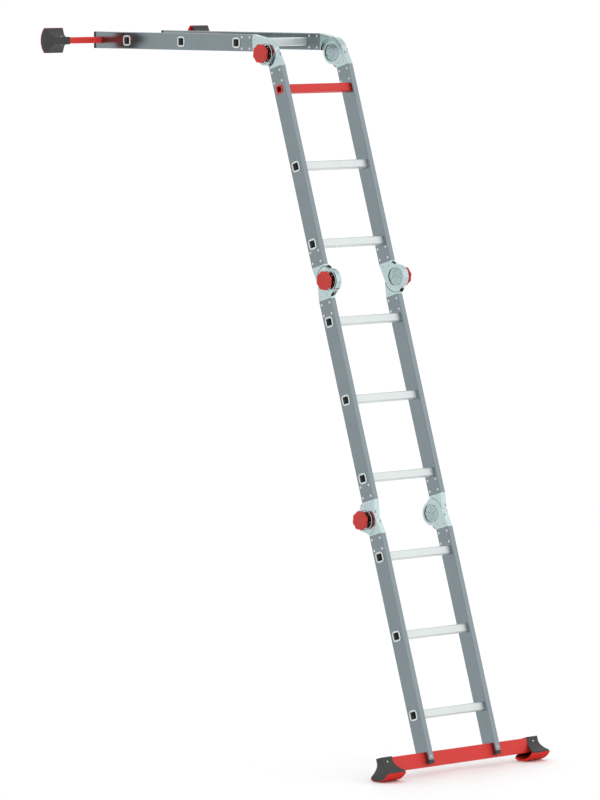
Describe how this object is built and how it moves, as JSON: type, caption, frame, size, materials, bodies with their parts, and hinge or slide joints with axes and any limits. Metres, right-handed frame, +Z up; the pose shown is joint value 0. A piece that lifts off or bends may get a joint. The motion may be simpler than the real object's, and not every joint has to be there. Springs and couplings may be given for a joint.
{
  "type": "folding multi-position ladder",
  "caption": "Aluminium folding ladder of hinged sections that leans with its top section level, with locking knob hinges and wide red stabiliser bars",
  "frame": {"origin": "centre of the bounding box in X and Y, on the floor under the bottom soles", "axes": "+Z up, +X the climber's right, +Y towards the wall; the three lower sections lean 17 degrees from the vertical towards +Y and the top section is level"},
  "size_m": [0.814, 1.7406, 2.5509],
  "materials": {
    "stile_aluminium": "extruded, satin anodised",
    "rung_aluminium": "extruded, bright",
    "red_rung": "red powder coat",
    "hinge_steel": "zinc plated, satin",
    "lock_steel": "zinc plated, satin",
    "knob_red": "moulded, fine texture",
    "bar_red": "red powder coat",
    "foot_black": "moulded, matt",
    "sole_red": "moulded, ribbed",
    "cap_black": "moulded, matt"
  },
  "bodies": {
    "section_1": {"stile_1_left": "stile_aluminium", "stile_1_right": "stile_aluminium", "rung_1_1": "rung_aluminium", "rung_1_2": "rung_aluminium", "rung_1_3": "rung_aluminium", "hinge_1_left_inner_arm": "hinge_steel", "hinge_1_right_inner_arm": "hinge_steel", "stabiliser_bar_bottom": "bar_red", "foot_bottom_left": "foot_black", "sole_bottom_left": "sole_red", "end_cap_bottom_left": "cap_black", "foot_bottom_right": "foot_black", "sole_bottom_right": "sole_red", "end_cap_bottom_right": "cap_black"},
    "section_2": {"stile_2_left": "stile_aluminium", "stile_2_right": "stile_aluminium", "rung_2_1": "rung_aluminium", "rung_2_2": "rung_aluminium", "rung_2_3": "rung_aluminium", "hinge_1_left_outer_arm": "hinge_steel", "hinge_1_right_outer_arm": "hinge_steel", "hinge_2_left_outer_arm": "hinge_steel", "hinge_2_right_outer_arm": "hinge_steel"},
    "section_3": {"stile_3_left": "stile_aluminium", "stile_3_right": "stile_aluminium", "rung_3_1": "rung_aluminium", "rung_3_2": "rung_aluminium", "rung_3_3": "red_rung", "hinge_2_left_inner_arm": "hinge_steel", "hinge_2_right_inner_arm": "hinge_steel", "hinge_3_left_inner_arm": "hinge_steel", "hinge_3_right_inner_arm": "hinge_steel"},
    "section_4": {"stile_4_left": "stile_aluminium", "stile_4_right": "stile_aluminium", "rung_4_1": "rung_aluminium", "rung_4_2": "rung_aluminium", "rung_4_3": "rung_aluminium", "hinge_3_left_outer_arm": "hinge_steel", "hinge_3_right_outer_arm": "hinge_steel", "stabiliser_bar_top": "bar_red", "foot_top_left": "foot_black", "sole_top_left": "sole_red", "end_cap_top_left": "cap_black", "foot_top_right": "foot_black", "sole_top_right": "sole_red", "end_cap_top_right": "cap_black"},
    "hinge_1_left_lock": {"hinge_1_left_knob": "knob_red", "hinge_1_left_lock_plate": "lock_steel"},
    "hinge_1_right_lock": {"hinge_1_right_knob": "knob_red", "hinge_1_right_lock_plate": "lock_steel"},
    "hinge_2_left_lock": {"hinge_2_left_knob": "knob_red", "hinge_2_left_lock_plate": "lock_steel"},
    "hinge_2_right_lock": {"hinge_2_right_knob": "knob_red", "hinge_2_right_lock_plate": "lock_steel"},
    "hinge_3_left_lock": {"hinge_3_left_knob": "knob_red", "hinge_3_left_lock_plate": "lock_steel"},
    "hinge_3_right_lock": {"hinge_3_right_knob": "knob_red", "hinge_3_right_lock_plate": "lock_steel"}
  },
  "joints": [
    {"name": "hinge_1", "type": "hinge", "parent": "section_1", "child": "section_2", "pos_m": [0, -0.53174, 0.86333], "axis": [1, 0, 0], "range_deg": [-180, 0]},
    {"name": "hinge_2", "type": "hinge", "parent": "section_2", "child": "section_3", "pos_m": [0, -0.355, 1.68768], "axis": [-1, 0, 0], "range_deg": [-180, 0]},
    {"name": "hinge_3", "type": "hinge", "parent": "section_3", "child": "section_4", "pos_m": [0, -0.04056, 2.46992], "axis": [1, 0, 0], "range_deg": [-107, 73]},
    {"name": "hinge_1_left_knob_press", "type": "slide", "parent": "section_1", "child": "hinge_1_left_lock", "axis": [1, 0, 0], "range_m": [0, 0.008], "stiffness_N_per_m": 600, "springref_m": -0.01},
    {"name": "hinge_1_right_knob_press", "type": "slide", "parent": "section_1", "child": "hinge_1_right_lock", "axis": [-1, 0, 0], "range_m": [0, 0.008], "stiffness_N_per_m": 600, "springref_m": -0.01},
    {"name": "hinge_2_left_knob_press", "type": "slide", "parent": "section_3", "child": "hinge_2_left_lock", "axis": [1, 0, 0], "range_m": [0, 0.008], "stiffness_N_per_m": 600, "springref_m": -0.01},
    {"name": "hinge_2_right_knob_press", "type": "slide", "parent": "section_3", "child": "hinge_2_right_lock", "axis": [-1, 0, 0], "range_m": [0, 0.008], "stiffness_N_per_m": 600, "springref_m": -0.01},
    {"name": "hinge_3_left_knob_press", "type": "slide", "parent": "section_3", "child": "hinge_3_left_lock", "axis": [1, 0, 0], "range_m": [0, 0.008], "stiffness_N_per_m": 600, "springref_m": -0.01},
    {"name": "hinge_3_right_knob_press", "type": "slide", "parent": "section_3", "child": "hinge_3_right_lock", "axis": [-1, 0, 0], "range_m": [0, 0.008], "stiffness_N_per_m": 600, "springref_m": -0.01}
  ]
}
